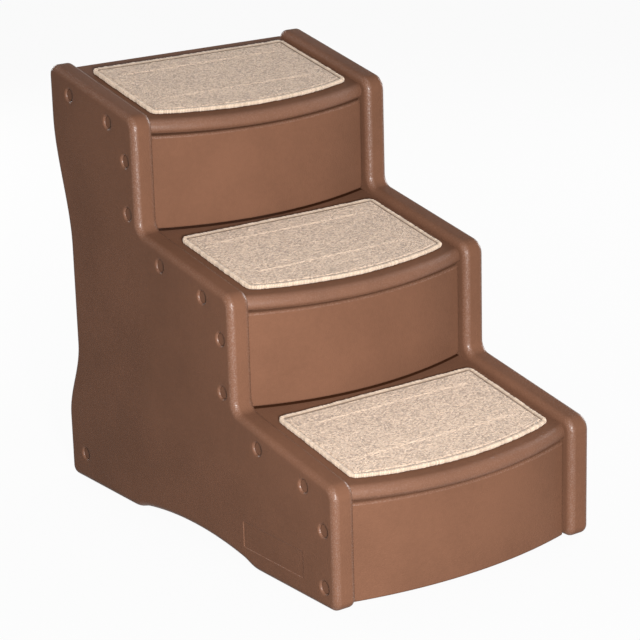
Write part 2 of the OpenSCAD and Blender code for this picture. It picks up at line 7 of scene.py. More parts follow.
import bmesh
import bpy
import numpy as np
from mathutils import Matrix, Vector, geometry
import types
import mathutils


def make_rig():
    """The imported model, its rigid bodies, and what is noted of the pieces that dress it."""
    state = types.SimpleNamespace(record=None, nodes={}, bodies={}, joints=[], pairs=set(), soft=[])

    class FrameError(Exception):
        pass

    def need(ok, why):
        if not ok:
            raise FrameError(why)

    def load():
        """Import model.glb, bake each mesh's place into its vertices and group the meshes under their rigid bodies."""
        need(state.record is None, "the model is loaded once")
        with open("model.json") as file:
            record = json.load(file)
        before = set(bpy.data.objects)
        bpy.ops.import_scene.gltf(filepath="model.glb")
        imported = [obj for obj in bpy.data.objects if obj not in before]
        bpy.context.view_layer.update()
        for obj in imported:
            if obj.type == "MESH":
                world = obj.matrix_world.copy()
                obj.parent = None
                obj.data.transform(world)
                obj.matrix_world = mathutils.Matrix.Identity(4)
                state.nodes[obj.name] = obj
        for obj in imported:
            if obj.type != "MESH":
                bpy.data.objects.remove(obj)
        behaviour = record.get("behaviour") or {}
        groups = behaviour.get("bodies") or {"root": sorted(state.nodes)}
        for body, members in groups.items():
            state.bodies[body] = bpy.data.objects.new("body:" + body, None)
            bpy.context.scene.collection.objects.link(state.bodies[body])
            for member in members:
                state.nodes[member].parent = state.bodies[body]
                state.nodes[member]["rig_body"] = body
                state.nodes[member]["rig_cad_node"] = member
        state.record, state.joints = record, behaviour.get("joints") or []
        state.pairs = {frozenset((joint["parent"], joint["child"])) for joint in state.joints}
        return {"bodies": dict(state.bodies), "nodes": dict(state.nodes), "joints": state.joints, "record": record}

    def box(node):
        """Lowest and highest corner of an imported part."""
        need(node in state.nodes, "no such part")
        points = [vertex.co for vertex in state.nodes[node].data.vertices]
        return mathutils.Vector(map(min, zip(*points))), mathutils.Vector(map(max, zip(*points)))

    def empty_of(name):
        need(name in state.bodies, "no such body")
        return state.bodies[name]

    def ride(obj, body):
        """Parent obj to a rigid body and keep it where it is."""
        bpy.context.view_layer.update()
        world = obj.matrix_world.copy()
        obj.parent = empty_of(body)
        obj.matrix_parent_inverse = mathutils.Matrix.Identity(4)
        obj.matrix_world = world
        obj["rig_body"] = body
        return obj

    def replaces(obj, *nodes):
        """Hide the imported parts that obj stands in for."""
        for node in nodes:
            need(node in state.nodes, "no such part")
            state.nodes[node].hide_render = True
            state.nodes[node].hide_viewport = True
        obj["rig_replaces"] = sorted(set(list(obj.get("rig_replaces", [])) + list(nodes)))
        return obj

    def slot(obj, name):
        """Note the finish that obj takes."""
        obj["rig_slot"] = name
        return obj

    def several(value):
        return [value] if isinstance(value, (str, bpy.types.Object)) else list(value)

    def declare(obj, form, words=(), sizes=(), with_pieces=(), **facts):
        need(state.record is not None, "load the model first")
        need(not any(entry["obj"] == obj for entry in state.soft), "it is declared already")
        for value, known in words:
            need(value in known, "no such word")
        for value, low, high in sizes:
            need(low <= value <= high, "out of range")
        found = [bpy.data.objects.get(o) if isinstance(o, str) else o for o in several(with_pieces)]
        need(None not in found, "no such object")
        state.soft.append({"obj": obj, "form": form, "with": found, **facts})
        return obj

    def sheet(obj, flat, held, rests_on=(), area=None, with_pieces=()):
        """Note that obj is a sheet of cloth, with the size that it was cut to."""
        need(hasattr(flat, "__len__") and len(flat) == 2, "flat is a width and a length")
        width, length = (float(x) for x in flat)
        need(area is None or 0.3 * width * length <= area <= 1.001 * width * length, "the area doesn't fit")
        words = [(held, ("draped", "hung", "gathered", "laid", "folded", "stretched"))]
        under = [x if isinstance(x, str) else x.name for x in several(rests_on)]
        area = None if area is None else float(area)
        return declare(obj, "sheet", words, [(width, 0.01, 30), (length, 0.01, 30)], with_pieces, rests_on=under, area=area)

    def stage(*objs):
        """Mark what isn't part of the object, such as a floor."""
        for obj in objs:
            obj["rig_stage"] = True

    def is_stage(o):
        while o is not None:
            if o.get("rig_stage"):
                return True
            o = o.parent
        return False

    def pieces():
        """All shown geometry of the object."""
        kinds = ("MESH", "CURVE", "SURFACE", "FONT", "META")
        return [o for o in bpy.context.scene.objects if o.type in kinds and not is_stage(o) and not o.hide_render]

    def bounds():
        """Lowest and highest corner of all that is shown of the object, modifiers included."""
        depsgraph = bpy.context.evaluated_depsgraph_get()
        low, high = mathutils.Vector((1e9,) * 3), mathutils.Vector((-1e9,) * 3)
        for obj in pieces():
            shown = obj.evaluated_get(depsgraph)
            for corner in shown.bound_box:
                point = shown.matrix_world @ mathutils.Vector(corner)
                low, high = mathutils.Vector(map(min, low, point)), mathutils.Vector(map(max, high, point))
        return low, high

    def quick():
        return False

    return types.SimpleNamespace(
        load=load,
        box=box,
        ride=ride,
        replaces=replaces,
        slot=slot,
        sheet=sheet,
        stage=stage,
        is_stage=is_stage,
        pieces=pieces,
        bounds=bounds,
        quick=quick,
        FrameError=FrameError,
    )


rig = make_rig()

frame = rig.load()
cad_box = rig.bounds()


def arc_radius(half, height):
    """The radius of an arc, from half its width and its height."""
    return (half**2 + height**2) / (2 * height)


MM = 0.001
WELD = 0.002 * MM

# How far apart the points of outlines lie, and those of the lattices inside them
PANEL_STEP, FIELD_STEP, RISER_STEP, CARPET_STEP, CLOTH_STEP, SHEET_STEP = 8.0, 6.0, 6.0, 1.0, 4.0, 2.0
FLAT_STEP, RISER_FLAT_STEP, PILE_FLAT_STEP, NO_LATTICE = 12.0, 8.0, 9.0, 1000.0

# Steps counted from the floor, as the solids' names give them
STEPS = {"bottom": 0, "middle": 1, "top": 2}
SIDES = {"left": -1, "right": 1}

# Frame of the stairs
STAIR_W = 406.0
RISE, FRONT_RISE = 190.0, 159.0
RUN = 209.0
RUNS = {"bottom": RUN, "middle": RUN, "top": 211.5}
FALL = math.radians(11.6)
TILTS = {"bottom": FALL, "middle": FALL, "top": math.radians(12.5)}
PANEL_T, END_GAP = 32.0, 0.6
PANEL_BACK = sum(RUNS.values())
END_X = STAIR_W / 2 - PANEL_T - END_GAP
PANEL_LOW = np.array(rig.box("side_panel_left")[0])

# Side panels
PANEL_EDGE_R, PANEL_MARGIN = 9.0, 3.0
CORNER_RADII = [13.0, 20.0, 15.0, 20.0, 15.0, 20.0, 14.0, 13.0]
SCOOP_DEPTH, SCOOP_TOP, SCOOP_END = 32.0, 511.9, 88.5
SCOOP_EASE_TOP, SCOOP_EASE_LOW = 175.0, 110.0
FRONT_FOOT, REAR_FOOT, ARCH_H, ARCH_EASE = 165.0, 162.0, 17.5, 36.0
SCOOP_POINTS, ARCH_POINTS = 70, 50
LEDGE_SINK, LEDGE_REACH, LEDGE_H, LEDGE_FRONT, LEDGE_END, LEDGE_R = 2.0, 10.5, 8.0, 46.0, 27.4, 1.5
FIELD_LOW, FIELD_HIGH, FIELD_CORNER_R = (66.4, 24.4), (197.6, 61.6), 3.6
FIELD_WALL = np.array([(0.0, 0.0), (0.6, 0.0), (0.8, 0.05), (1.1, 0.3), (1.4, 0.65), (1.7, 0.8), (2.3, 0.8)])

# Treads and risers
TREAD_DROP, SKIRT_H = 10.5, 24.0
NOSE_H, GROOVE_H, NOSE_TOP_R = 18.6, 2.0, 12.0
NOSE_BOW, NOSE_RECESS = 27.0, 7.5
NOSE_R = arc_radius(END_X, NOSE_BOW)
RISER_WALL, RISER_BOW, RISER_RECESS = 3.2, 23.5, 14.0
RISER_FLANGE, RISER_END_FLANGE = 18.0, 26.0
RISER_EDGE_R, RISER_CORNER_R, RISER_GAP, RISER_FLOOR_GAP = 3.2, 2.6, 2.6, 1.5
RISER_R = arc_radius(END_X, RISER_BOW)
RISER_MARGIN, RISER_END_RUN, RISER_POINTS = 2.0, 9.0, 60
RISER_LIP = np.array([(0.0, 0.8), (0.25, 0.2), (0.9, 0.0)])
RISER_FILLET = np.array([(0.5, 0.6), (2.5, 0.0)])
RIB_W, RIB_SINK, RIB_LIFT, RIB_R = 3.0, 1.0, 4.0, 0.6
END_FLANGE_LIFT, END_FLANGE_SINK, END_FLANGE_R = 6.0, 1.0, 0.9

# Pins, their recesses and their sockets
RECESS_R, RECESS_DEPTH, RECESS_RIM, RECESS_FOOT_R = 8.05, 4.8, 3.4, 1.2
RECESS_FLOOR_R, RECESS_POINTS = 3.0, 40
PIN_HEAD_R, PIN_HEAD_T, PIN_R, PIN_REACH = 8.0, 2.4, 4.0, 14.0
PIN_DISH = np.array([(0.0, 0.25), (4.0, 0.2), (6.0, 0.05)])
PIN_RIM = np.array([(-0.8, 0.0), (-0.35, 0.12), (-0.1, 0.4), (0.0, 0.8)])
PIN_BARB = np.array([(0.0, -7.2), (0.5, -6.4), (0.0, -4.0), (-0.5, -0.4), (-0.9, 0.0)])
PIN_CHAMFER, PIN_FILLET = 0.2, 0.4
SOCKET_R, SOCKET_L, SOCKET_EDGE = 7.5, 17.0, 0.6
BORE_R, BORE_DEPTH, BORE_FLARE, BORE_LIP = PIN_R + 0.1, 1.0, 0.3, 0.2
TREAD_PIN_YS = {"bottom": (59.0, 157.96), "middle": (59.0, 157.96), "top": (59.0, 157.63)}
TREAD_PIN_ZS = {"bottom": -24.5, "middle": -24.5, "top": -26.3}
RISER_PIN_Y = 24.0
RISER_PIN_DROPS = {"bottom": (58.0, 131.6), "middle": (58.0, 128.0), "top": (58.0, 128.0)}
BRACE_Y, BRACE_Z = PANEL_BACK - 41.5, 39.5

# Mats
MAT_W, MAT_BOW, MAT_CORNER_R = 312.0, 23.0, 10.0
MAT_FRONT, MAT_BACKS = 26.0, {"bottom": 186.5, "middle": 186.5, "top": 182.85}
MAT_R = arc_radius(MAT_W / 2, MAT_BOW)
MAT_MIDDLE, MAT_HALF, MAT_CURL, MAT_POINTS = 100.0, 86.0, 38.0, 80
STRIP_W, STRIP_L, STRIP_FRONT, STRIP_INSET = 18.0, 240.0, 67.5, 25.5
STRIP_RUN_OUT, STRIP_FADE, STRIP_SIDE_FADE, STRIP_EDGE_IN, STRIP_EDGE_W = 8.0, 14.0, 5.0, 0.6, 1.5
SWELL_REST, SWELL_WAVE, SWELL_STRIP, SWELL_EDGE, WAVE_X, WAVE_Y = 0.3, 0.2, 0.65, 0.25, 37.0, 29.0
BACKING_INSET, BACKING_Z, BACKING_GAP = 4.3, -9.8, 0.02
BACKING_EDGE = np.array([(0.35, 0.0), (0.1, 0.1), (0.0, 0.35)])
CARPET_INSET, PILE_Z, PILE_TOP, PILE_SKIRT = 6.0, -8.8, -5.1, 0.4
LOOP_X, LOOP_Y, LOOP_START, LOOP_DRAWS = 2.7, 2.4, 200.0, 200
LOOP_SINK, LOOP_LOW, LOOP_MORE, PILE_GRID, PILE_GRID_QUICK = 0.9, 0.55, 0.35, (400, 224), (200, 112)
RIM_DIP, RIM_W = 2.8, 3.8
SEEDS, YARN_SEED = {"top": 3, "middle": 4, "bottom": 5}, 50
STITCH_W, STITCH_PITCH, STITCH_H, STITCH_SLANT = 7.2, 2.2, 0.8, 0.8
STITCH_SECTION = np.array([
    (STITCH_W, -7.6), (STITCH_W - 0.5, -6.3), (STITCH_W - 1.6, -5.6), (3.4, -5.2), (2.0, -5.0), (1.0, -5.4),
    (0.3, -6.3), (0.0, -7.5), (0.3, -8.8), (1.1, -9.6), (2.6, -9.8), (3.9, -9.7), (4.2, -9.0), (5.4, -8.4),
])

# How the plastic's gloss and painted gap shade grow and fade: a share of the nose's rounding, millimetres, and gains
NOSE_RUB_SHARE, RECESS_RUB, RUB_GAIN, RISER_RUB_GAIN = 0.4, 1.2, 1.8, 2.0
GAP_SHADE_FROM, GAP_SHADE_TO = 1.6, 0.4
DECK_FROM, DECK_TO = 1.2, 0.6

# Lamps, each with its azimuth, elevation, distance, size and power
LAMPS = {
    "flash": (28.0, 13.0, 2.5, 0.3, 165.0),
    "above": (0.0, 66.0, 2.8, 0.8, 16.0),
    "back": (180.0, 18.0, 2.8, 1.4, 90.0),
    "right": (-100.0, 16.0, 2.8, 1.4, 75.0),
}
LAMP_TARGET = (0.0, 0.0, 0.27)
FILL_LIGHT, FLOOR_GREY, FLOOR_GLOW_SHARE, FLOOR_HALF = 0.07, 0.25, 0.95, 30.0

# The camera that the photograph was taken with, worked out from the stairs' corners
EYE = (-1.7082, -2.1007, 1.1616)
YAW, PITCH, ROLL = math.radians(35.399), math.radians(17.011), math.radians(-1.588)
FOCAL_PX, FRAME_PX, SENSOR_MM = 2342.9, 640.0, 36.0


def place(x, y, z):
    """Millimetres, y from the panels' front edge and z from their feet, as metres in the stairs' frame."""
    x, y, z = np.broadcast_arrays(x, y, z)
    return np.stack([x * MM, y * MM + PANEL_LOW[1], z * MM + PANEL_LOW[2]], -1)


def on_side(step, y, z):
    """A point of a step as seen from the side, in millimetres: y runs back along the step's tread from the
    panels' corner, and z is square to it."""
    c, s, i = math.cos(TILTS[step]), math.sin(TILTS[step]), STEPS[step]
    return i * RUN + y * c - z * s, FRONT_RISE + i * RISE + y * s + z * c


def on_step(step, x, y, z):
    """The same point, with x across, as metres in the stairs' frame."""
    return place(x, *on_side(step, y, z))


# Surfaces


def smooth(t):
    """A smooth step from 0 to 1."""
    t = np.clip(t, 0, 1)
    return t * t * (3 - 2 * t)


def grid_faces(rows, cols, wrap_rows=False, wrap_cols=False):
    """Four-sided faces of a grid of points: each joins a point to the next one along both ways."""
    r = np.arange(rows if wrap_rows else rows - 1)[:, None]
    c = np.arange(cols if wrap_cols else cols - 1)[None, :]
    r1, c1 = (r + 1) % rows, (c + 1) % cols
    return np.stack([r * cols + c, r * cols + c1, r1 * cols + c1, r1 * cols + c], -1).reshape(-1, 4)


def surface(points, wrap_rows=False, wrap_cols=False):
    """A patch from a grid of points."""
    rows, cols = points.shape[:2]
    return points.reshape(-1, 3), grid_faces(rows, cols, wrap_rows, wrap_cols)


def make_piece(name, patches, material, body, slot, crease=35.0, tones=()):
    """Joins patches into one object: doubles are merged, faces turned outwards, and edges flatter than the
    crease shaded smooth. The tones, an array or a number for each patch and 0 where none is
    left, become an attribute."""
    faces, start = [], 0
    for points, corners in patches:
        faces += (np.asarray(corners) + start).tolist()
        start += len(points)
    mesh = bpy.data.meshes.new(name)
    mesh.from_pydata(np.concatenate([points for points, _ in patches]).tolist(), [], faces)
    if tones:
        tones = [*tones, *[0.0] * (len(patches) - len(tones))]
        spread = [np.broadcast_to(tone, len(points)) for tone, (points, _) in zip(tones, patches)]
        values = np.concatenate(spread).astype(np.float32)
        mesh.attributes.new("tone", "FLOAT", "POINT").data.foreach_set("value", values)
    shell = bmesh.new()
    shell.from_mesh(mesh)
    bmesh.ops.remove_doubles(shell, verts=shell.verts, dist=WELD)
    bmesh.ops.recalc_face_normals(shell, faces=shell.faces)
    shell.to_mesh(mesh)
    shell.free()
    mesh.shade_smooth()
    mesh.set_sharp_from_angle(angle=math.radians(crease))
    mesh.materials.append(material)
    piece = bpy.data.objects.new(name, mesh)
    bpy.context.scene.collection.objects.link(piece)
    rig.ride(piece, body)
    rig.slot(piece, slot)
    return piece


def round_corner(a, b, c, r, n):
    """The arc of radius r that rounds the corner b. It touches both legs r / tan(half the angle) from b."""
    a, b, c = (np.asarray(p, float) for p in (a, b, c))
    u, v = (a - b) / np.linalg.norm(a - b), (c - b) / np.linalg.norm(c - b)
    half = math.acos(float(u @ v)) / 2
    m = b + (u + v) / np.linalg.norm(u + v) * r / math.sin(half)
    p, q = b + u * r / math.tan(half) - m, b + v * r / math.tan(half) - m
    start = math.atan2(p[1], p[0])
    turn = (math.atan2(q[1], q[0]) - start + math.pi) % (2 * math.pi) - math.pi
    t = start + turn * np.linspace(0, 1, n + 1)
    return m + r * np.stack([np.cos(t), np.sin(t)], 1)


def rounded(corners, radii, n):
    """A closed outline whose corners are rounded, one radius each."""
    k = len(corners)
    return np.concatenate([round_corner(corners[i - 1], corners[i], corners[(i + 1) % k], radii[i], n)
                           for i in range(k)])


def rectangle(low, high, r, n):
    """A rounded rectangle, clockwise, from its lowest and highest corners."""
    (x0, y0), (x1, y1) = low, high
    return rounded([(x0, y0), (x0, y1), (x1, y1), (x1, y0)], [r] * 4, n)


def evened(outline, spacing):
    """The outline with points added where two lie further apart than the spacing."""
    ends = np.roll(outline, -1, axis=0)
    counts = np.maximum(1, np.ceil(np.linalg.norm(ends - outline, axis=1) / spacing).astype(int))
    share = np.concatenate([np.arange(c) / c for c in counts])[:, None]
    return np.repeat(outline, counts, 0) * (1 - share) + np.repeat(ends, counts, 0) * share


def outward(outline):
    """Unit normals of an outline that runs clockwise, from each point's two neighbours."""
    along = np.roll(outline, -1, axis=0) - np.roll(outline, 1, axis=0)
    return np.stack([-along[:, 1], along[:, 0]], 1) / np.linalg.norm(along, axis=1)[:, None]


def inside(points, ring):
    """Which points lie in a ring: a line to the right crosses its edges an odd number of times."""
    a, b = ring[None], np.roll(ring, -1, axis=0)[None]
    x, y = points[:, None, 0], points[:, None, 1]
    spans = (a[..., 1] > y) != (b[..., 1] > y)
    rise = np.where(b[..., 1] == a[..., 1], 1.0, b[..., 1] - a[..., 1])
    return (spans & (x < a[..., 0] + (y - a[..., 1]) * (b[..., 0] - a[..., 0]) / rise)).sum(1) % 2 == 1


def fill(ring, holes, spacing):
    """Triangles over the flat inside a ring, round any holes, by way of a lattice of points between them."""
    low, high = ring.min(0), ring.max(0)
    lattice = np.stack(np.meshgrid(np.arange(low[0] + spacing / 2, high[0], spacing),
                                   np.arange(low[1] + spacing / 2, high[1], spacing)), -1).reshape(-1, 2)
    borders = np.concatenate([ring, *holes])
    near = np.linalg.norm(lattice[:, None] - borders[None], axis=2).min(1)
    clear = inside(lattice, ring) & (near > spacing / 3)
    edges, start = [], 0
    for border in (ring, *holes):
        n = np.arange(len(border))
        edges += (np.stack([n, (n + 1) % len(border)], 1) + start).tolist()
        start += len(border)
    for hole in holes:
        clear &= ~inside(lattice, hole)
    flat = np.concatenate([borders, lattice[clear]])
    points, _, faces, *_ = geometry.delaunay_2d_cdt([Vector(p) for p in flat], edges, [], 1, 1e-7)
    points, faces = np.array([tuple(p) for p in points]), np.array(faces)
    for hole in holes:
        faces = faces[~inside(points[faces].mean(1), hole)]
    return points, faces


def flat_patch(ring, holes, spacing, where, depth):
    """The flat inside a ring, round any holes, at one depth."""
    flat, faces = fill(ring, holes, spacing)
    return where(flat[:, 0], flat[:, 1], np.full(len(flat), depth)), faces


def carried(outline, profile, where):
    """The rings of an outline carried through a profile of (inset, depth), and the surface over them. where()
    puts (across, up, depth) into place."""
    inset, depth = profile.T
    rings = outline[None] - outward(outline)[None] * inset[:, None, None]
    deep = np.broadcast_to(depth[:, None], rings.shape[:2])
    return rings, surface(where(rings[..., 0], rings[..., 1], deep), wrap_cols=True)


def moulding(outline, profile, where, holes=(), spacing=FLAT_STEP):
    """A closed moulding: the outline carried through the profile, with its front and back filled."""
    rings, edge = carried(outline, profile, where)
    return [edge, flat_patch(rings[0], holes, spacing, where, profile[0, 1]),
            flat_patch(rings[-1], (), spacing, where, profile[-1, 1])]


def rubbed_edge(outline, profile, radius, ways, thick=math.inf):
    """How glossy each point of a moulding's edge is: full half way round its rounding, where the outline
    faces one of the ways."""
    inset, depth = profile.T
    deep = np.minimum(depth, thick - depth)
    round_off = 2 * np.clip(1 - inset / radius, 0, 1) * np.clip(1 - deep / radius, 0, 1)
    facing = np.clip(np.max([outward(outline) @ np.asarray(way, float) for way in ways], axis=0), 0, 1)
    return np.clip(round_off[:, None] * facing[None] * RUB_GAIN, 0, 1).ravel()


def quarter(r, n, start=0, end=90):
    """Points (inset, depth) of a quarter circle of radius r, between two angles in degrees from the face."""
    a = np.radians(np.linspace(start, end, n + 1))
    return np.stack([r * (1 - np.sin(a)), r * (1 - np.cos(a))], 1)


def mirrored(edge, thick):
    """A profile of (inset, depth) whose back edge is the mirror of its front edge."""
    return np.concatenate([edge, np.stack([edge[::-1, 0], thick - edge[::-1, 1]], 1)])


def slab(low, high, r, where=place):
    """A box with rounded edges, from its lowest and highest corners."""
    size = np.subtract(high, low)
    r = min(r, 0.45 * size.min())
    return moulding(rectangle(low[:2], high[:2], 1.2 * r, 3), mirrored(quarter(r, 3), size[2]),
                    lambda x, y, depth: where(x, y, high[2] - depth), spacing=NO_LATTICE)


def turned(profile, centre, way, n=RECESS_POINTS):
    """A surface turned round a line along X. The profile gives (radius, distance), and the distance runs from
    the centre the way that the sign says."""
    r, along = np.asarray(profile, float).T
    t = np.linspace(0, 2 * np.pi, n, endpoint=False)
    x, y, z = centre
    points = place(x + way * along[:, None], y + r[:, None] * np.cos(t), z + r[:, None] * np.sin(t))
    return surface(points, wrap_cols=True)


# Materials


class Value:
    """A number, colour or shader that a socket gives. Arithmetic on a number adds Math nodes."""

    def __init__(self, nodes, socket):
        self.nodes, self.socket = nodes, socket

    def __add__(self, other):
        return self.nodes.math("ADD", self, other)

    def __sub__(self, other):
        return self.nodes.math("SUBTRACT", self, other)

    def __rsub__(self, other):
        return self.nodes.math("SUBTRACT", other, self)

    def __mul__(self, other):
        return self.nodes.math("MULTIPLY", self, other)

    def __pow__(self, other):
        return self.nodes.math("POWER", self, other)

    __radd__, __rmul__ = __add__, __mul__

    def clamped(self, low, high):
        """0 up to low, 1 from high, and smooth between."""
        return self.nodes.add("ShaderNodeMapRange", {"interpolation_type": "SMOOTHSTEP"},
                              {"Value": self, "From Min": low, "From Max": high}, "Result")


class Nodes:
    """The node tree of a material or of the world."""

    def __init__(self, owner):
        owner.use_nodes = True
        self.tree = owner.node_tree

    def add(self, kind, settings, inputs, output=0):
        """Adds a node: its settings first, then the value or link of each socket."""
        made = self.tree.nodes.new(kind)
        for key, value in settings.items():
            setattr(made, key, value)
        self.set(made, inputs)
        return Value(self, made.outputs[output])

    def set(self, node, inputs):
        """Gives each of a node's sockets its value or link."""
        for key, value in inputs.items():
            if isinstance(value, Value):
                self.tree.links.new(value.socket, node.inputs[key])
            else:
                node.inputs[key].default_value = value

    def math(self, operation, *terms):
        return self.add("ShaderNodeMath", {"operation": operation}, dict(enumerate(terms)))


class Finish(Nodes):
    """A material with one Principled shader, whose patterns lie in the object's own coordinates."""

    def __init__(self, name, **constants):
        self.material = bpy.data.materials.new(name)
        super().__init__(self.material)
        self.feed(**constants)
        self.coordinates = self.add("ShaderNodeTexCoord", {}, {}, "Object")

    def feed(self, **sockets):
        """Sets sockets of the Principled shader, with _ for each space in their names."""
        self.set(self.tree.nodes["Principled BSDF"], {key.replace("_", " "): v for key, v in sockets.items()})
        return self.material

    def axes(self):
        split = self.add("ShaderNodeSeparateXYZ", {}, {"Vector": self.coordinates})
        return [Value(self, socket) for socket in split.socket.node.outputs]

    def tone(self):
        """The tone that make_piece keeps on a mesh."""
        return self.add("ShaderNodeAttribute", {"attribute_name": "tone"}, {}, "Fac")

    def noise(self, per_m, detail=2.0, roughness=0.5):
        return self.add("ShaderNodeTexNoise", {}, {"Vector": self.coordinates, "Scale": per_m,
                                                   "Detail": detail, "Roughness": roughness})

    def cells(self, per_m, randomness=1.0, feature="F1"):
        return self.add("ShaderNodeTexVoronoi", {"feature": feature},
                        {"Vector": self.coordinates, "Scale": per_m, "Randomness": randomness}, "Distance")

    def waves(self, per_m, way):
        return self.add("ShaderNodeTexWave", {"bands_direction": way},
                        {"Vector": self.coordinates, "Scale": per_m, "Distortion": 0.6, "Detail": 1.0}, "Fac")

    def mix(self, factor, a, b):
        """Colour a where the factor is 0 and b where it is 1."""
        return self.add("ShaderNodeMix", {"data_type": "RGBA"}, {0: factor, 6: a, 7: b}, 2)

    def bump(self, height, distance, strength, onto=None):
        inputs = {"Height": height, "Distance": distance, "Strength": strength}
        if onto:
            inputs["Normal"] = onto
        return self.add("ShaderNodeBump", {}, inputs, "Normal")


def colour(red, green, blue):
    """A colour from 0 to 255 as the linear one that a shader takes."""
    s = np.array([red, green, blue]) / 255
    return (*np.where(s <= 0.04045, s / 12.92, ((s + 0.055) / 1.055) ** 2.4), 1.0)


def from_centre(x, y, middle):
    """How far a place lies from the centre (0, middle) of a circle."""
    along = y - middle
    return (x * x + along * along) ** 0.5


def on_nose(finish, step):
    """1 at the front of a tread's nose and 0 behind it. The nose is the outer rim of a circle across the
    stairs, in the plane of the tread."""
    c, s = math.cos(TILTS[step]), math.sin(TILTS[step])
    x, y, z = finish.axes()
    _, front, height = on_step(step, 0.0, 0.0, 0.0)
    middle = front * c + height * s + (NOSE_RECESS - NOSE_BOW + NOSE_R) * MM
    low, high = NOSE_R - NOSE_TOP_R, NOSE_R - NOSE_RUB_SHARE * NOSE_TOP_R
    return from_centre(x, y * c + z * s, middle).clamped(low * MM, high * MM)


def painted_gap_shade(finish, step):
    """Painted shade: 1 on a tread's deck in the gap under the next riser, behind the circle of that riser's face."""
    c, s = math.cos(TILTS[step]), math.sin(TILTS[step])
    x, y, z = finish.axes()
    _, front, height = on_step(step, 0.0, 0.0, 0.0)
    middle = place(0.0, (STEPS[step] + 1) * RUN + RISER_RECESS - RISER_BOW + RISER_R, 0.0)[1]
    behind = 1 - from_centre(x, y, middle).clamped((RISER_R - GAP_SHADE_FROM) * MM, (RISER_R - GAP_SHADE_TO) * MM)
    deck = height * c - front * s - TREAD_DROP * MM
    return behind * (z * c - y * s).clamped(deck - DECK_FROM * MM, deck - DECK_TO * MM)


def moulded_plastic(name, pebble=1.0, step=None):
    """Brown plastic from a grained mould: a fine pebble over a slow unevenness, with a satin sheen. The tops
    of the pebbles are rubbed glossy along the edges that feet and hands meet: where a mesh's tone says so,
    and on a tread's nose. A tread's deck is darkened in the gap under the next riser, as painted shade."""
    finish = Finish(name, IOR=1.06, Coat_IOR=1.5, Coat_Roughness=0.46)
    slow, fine = finish.noise(9.0, 3.0), finish.noise(160.0)
    grain, wrinkle = finish.cells(560.0, feature="SMOOTH_F1"), finish.noise(800.0, 2.0, 0.6)
    speckle = finish.noise(620.0, 1.0).clamped(0.48, 0.62)
    base = finish.mix((slow * 0.75 + fine * 0.25).clamped(0.3, 0.7), colour(86, 59, 45), colour(93, 64, 49))
    # painted shade: the tread's deck turns near black in the gap under the next riser
    if step in ("bottom", "middle"):
        base = finish.mix(painted_gap_shade(finish, step), base, colour(52, 29, 17))
    rough = 0.15 + fine * 0.05 + grain * 0.04
    normal = finish.bump(grain * 0.9 + wrinkle * 0.6, 0.0004 * pebble, 0.9, finish.bump(slow, 0.004, 0.1))
    gloss = on_nose(finish, step) * (speckle * 0.3 + 0.3) if step else finish.tone() * (speckle * 0.8 + 0.2)
    return finish.feed(Base_Color=base, Roughness=rough, Normal=normal, Coat_Weight=gloss)


def carpet_pile():
    """Beige loop pile: each loop has its own tone, with tufts and fine fibres. The mesh's tone brings painted
    shade between the loops and at the rim, and a painted highlight along the strips' edges.
    """
    finish = Finish("loop_pile", Roughness=0.95, Specular_IOR_Level=0.15, Sheen_Weight=0.25,
                    Sheen_Roughness=0.5)
    patches = finish.noise(45.0, 3.0)
    tufts = finish.noise(430.0, 2.0, 0.6)
    fibres = finish.noise(2600.0, 2.0, 0.7)
    # the mesh's tone carries painted shade and a painted highlight into the colour
    shade = (finish.tone() * 0.8 + tufts * 0.75 + fibres * 0.3 + patches * 0.2 - 0.385).clamped(0.0, 0.9)
    base = finish.mix(shade, colour(98, 80, 67), colour(191, 166, 144))
    normal = finish.bump(fibres, 0.0005, 0.7, finish.bump(tufts, 0.0045, 0.9))
    return finish.feed(Base_Color=base, Normal=normal)


def thread():
    """Cream overlocking yarn: its wraps are in the mesh, and the fibres along them are a fine bump. The mesh's
    tone brings painted shade between the wraps and towards the stitches' inner end.
    """
    finish = Finish("overlock_yarn", Roughness=0.85, Specular_IOR_Level=0.2, Sheen_Weight=0.2)
    fibres = finish.noise(2400.0, 2.0, 0.7)
    # the mesh's tone carries painted shade into the colour
    shade = (finish.tone() * 0.85 + fibres * 0.3 - 0.1).clamped(0.0, 1.0)
    base = finish.mix(shade, colour(92, 74, 60), colour(188, 168, 148))
    return finish.feed(Base_Color=base, Normal=finish.bump(fibres, 0.0004, 0.6))


def woven_backing():
    """Latexed backing cloth: a plain weave of flat tapes under a thin, uneven coat."""
    finish = Finish("woven_backing", Roughness=0.9, Specular_IOR_Level=0.2)
    weave = finish.waves(240.0, "X") * finish.waves(240.0, "Y")
    shade = (weave * 0.6 + finish.noise(60.0, 3.0) * 0.4).clamped(0.1, 0.8)
    base = finish.mix(shade, colour(128, 112, 92), colour(168, 150, 126))
    return finish.feed(Base_Color=base, Normal=finish.bump(weave, 0.0004, 0.7))


def strip_cloth(name, deep, light, per_m, height):
    """Nylon tape covered with hooks or loops."""
    finish = Finish(name, Roughness=0.8, Specular_IOR_Level=0.3)
    ends = finish.cells(per_m, 0.4)
    fuzz = finish.noise(per_m * 1.7, 2.0, 0.7)
    base = finish.mix((ends * 0.9 + fuzz * 0.3).clamped(0.1, 0.9), colour(*light), colour(*deep))
    return finish.feed(Base_Color=base, Normal=finish.bump(1 - ends, height, 0.9))


def grip_rubber():
    """Black rubber with a dull, faintly mottled face."""
    finish = Finish("grip_rubber", Specular_IOR_Level=0.35)
    mottle = finish.noise(220.0, 3.0)
    base = finish.mix(mottle, colour(22, 22, 22), colour(44, 43, 42))
    normal = finish.bump(finish.noise(1400.0), 0.0002, 0.5)
    return finish.feed(Base_Color=base, Roughness=0.72 + mottle * 0.2, Normal=normal)


